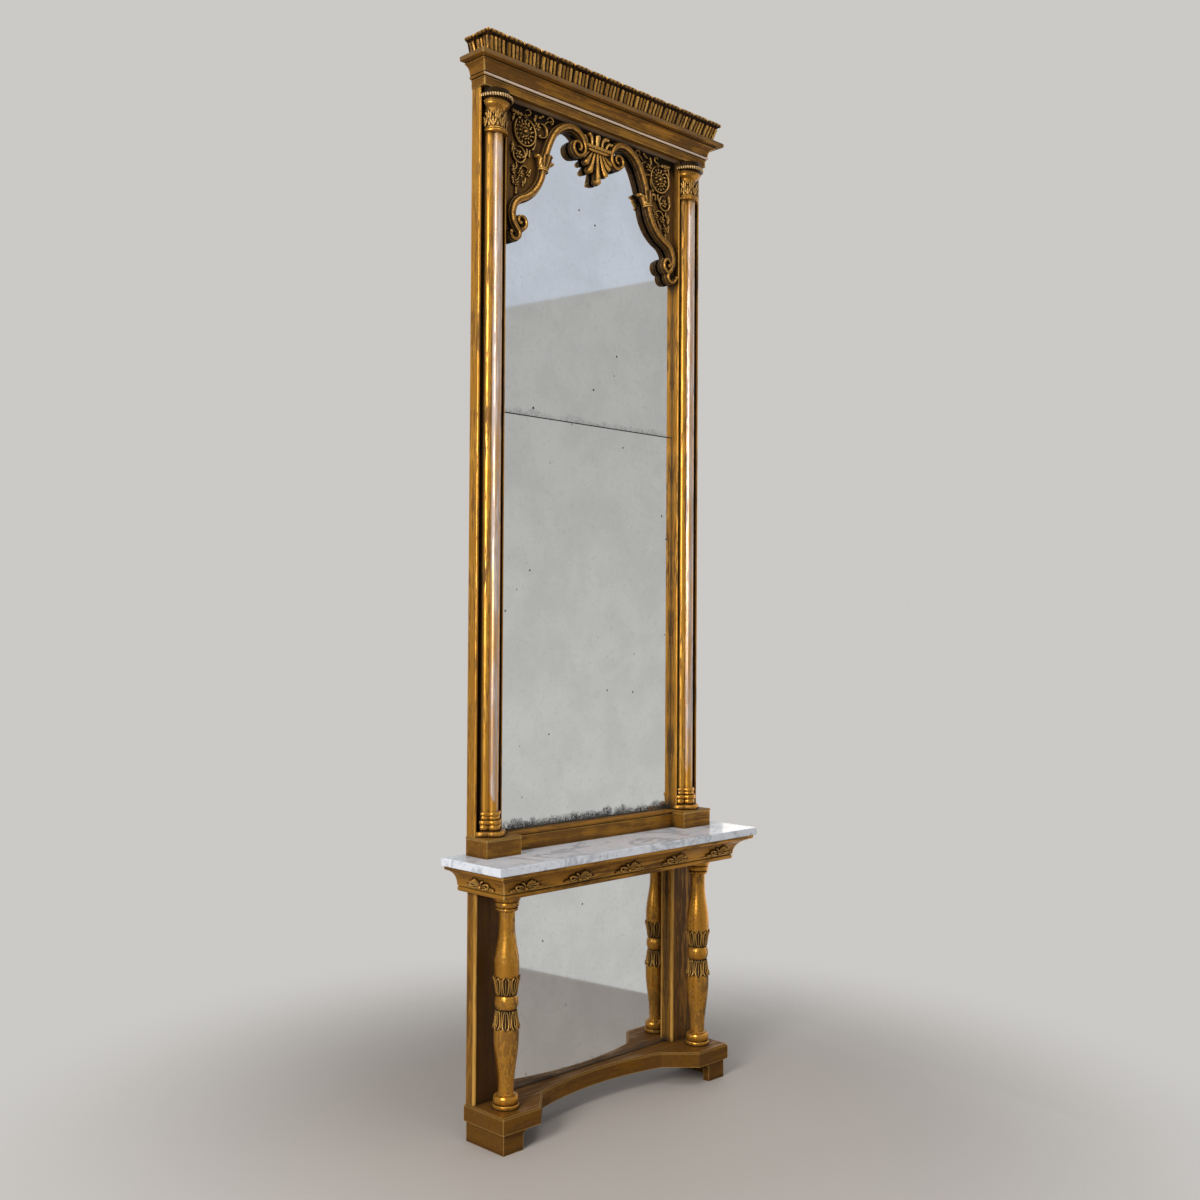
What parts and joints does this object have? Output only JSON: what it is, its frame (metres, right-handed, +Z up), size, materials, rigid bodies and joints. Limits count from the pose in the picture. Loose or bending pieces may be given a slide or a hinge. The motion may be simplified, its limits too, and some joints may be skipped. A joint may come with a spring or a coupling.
{
  "type": "pier mirror",
  "caption": "Tall gilt pier mirror with clustered columns, ogee-arched head and fluted crest, over a marble-topped console on vase balusters with a mirrored back",
  "frame": {"origin": "on the floor, at the middle of the marble top's width and depth", "axes": "+Z up, -Y to the front, +X to the viewer's right"},
  "size_m": [1.15, 0.267, 3.275],
  "materials": {
    "gilding": "carved wood, water gilded and worn, with brown rubbed through",
    "bare_wood": "plain sawn softwood, darkened with age",
    "marble": "polished white marble with grey veins",
    "mirror_glass": "old silvered plate with specks and worn silvering at the lower edge"
  },
  "bodies": {
    "root": {"foot_left": "gilding", "foot_right": "gilding", "base_slab": "gilding", "upright_left": "gilding", "upright_right": "gilding", "console_mirror": "mirror_glass", "console_back_board": "bare_wood", "baluster_left": "gilding", "baluster_right": "gilding", "leaf_cup_left": "gilding", "leaf_cup_right": "gilding", "leaf_collar_left": "gilding", "leaf_collar_right": "gilding", "apron_soffit": "bare_wood", "apron_front": "gilding", "apron_left": "gilding", "apron_right": "gilding", "apron_back": "bare_wood", "apron_ornaments": "gilding", "apron_ornament_left": "gilding", "apron_ornament_right": "gilding", "marble_top": "marble", "plinth_left": "gilding", "plinth_right": "gilding", "plinth_cap_left": "gilding", "plinth_cap_right": "gilding", "bottom_rail": "gilding", "stile_left": "gilding", "stile_right": "gilding", "top_rail": "bare_wood", "column_base_left": "gilding", "column_base_right": "gilding", "column_shaft_left": "gilding", "column_shaft_right": "gilding", "capital_left": "gilding", "capital_right": "gilding", "capital_leaves_left": "gilding", "capital_leaves_right": "gilding", "lower_mirror_plate": "mirror_glass", "upper_mirror_plate": "mirror_glass", "back_board": "bare_wood", "spandrel_panel": "gilding", "arch_moulding_left": "gilding", "arch_moulding_right": "gilding", "leaf_cuff_left": "gilding", "leaf_cuff_right": "gilding", "tie_bar": "gilding", "palmette": "gilding", "shell_pendant": "gilding", "spandrel_ornament_left": "gilding", "spandrel_ornament_right": "gilding", "cornice_soffit": "bare_wood", "cornice_front": "gilding", "cornice_left": "gilding", "cornice_right": "gilding", "crest_front": "gilding", "crest_left": "gilding", "crest_right": "gilding", "dust_board": "bare_wood"}
  },
  "joints": []
}
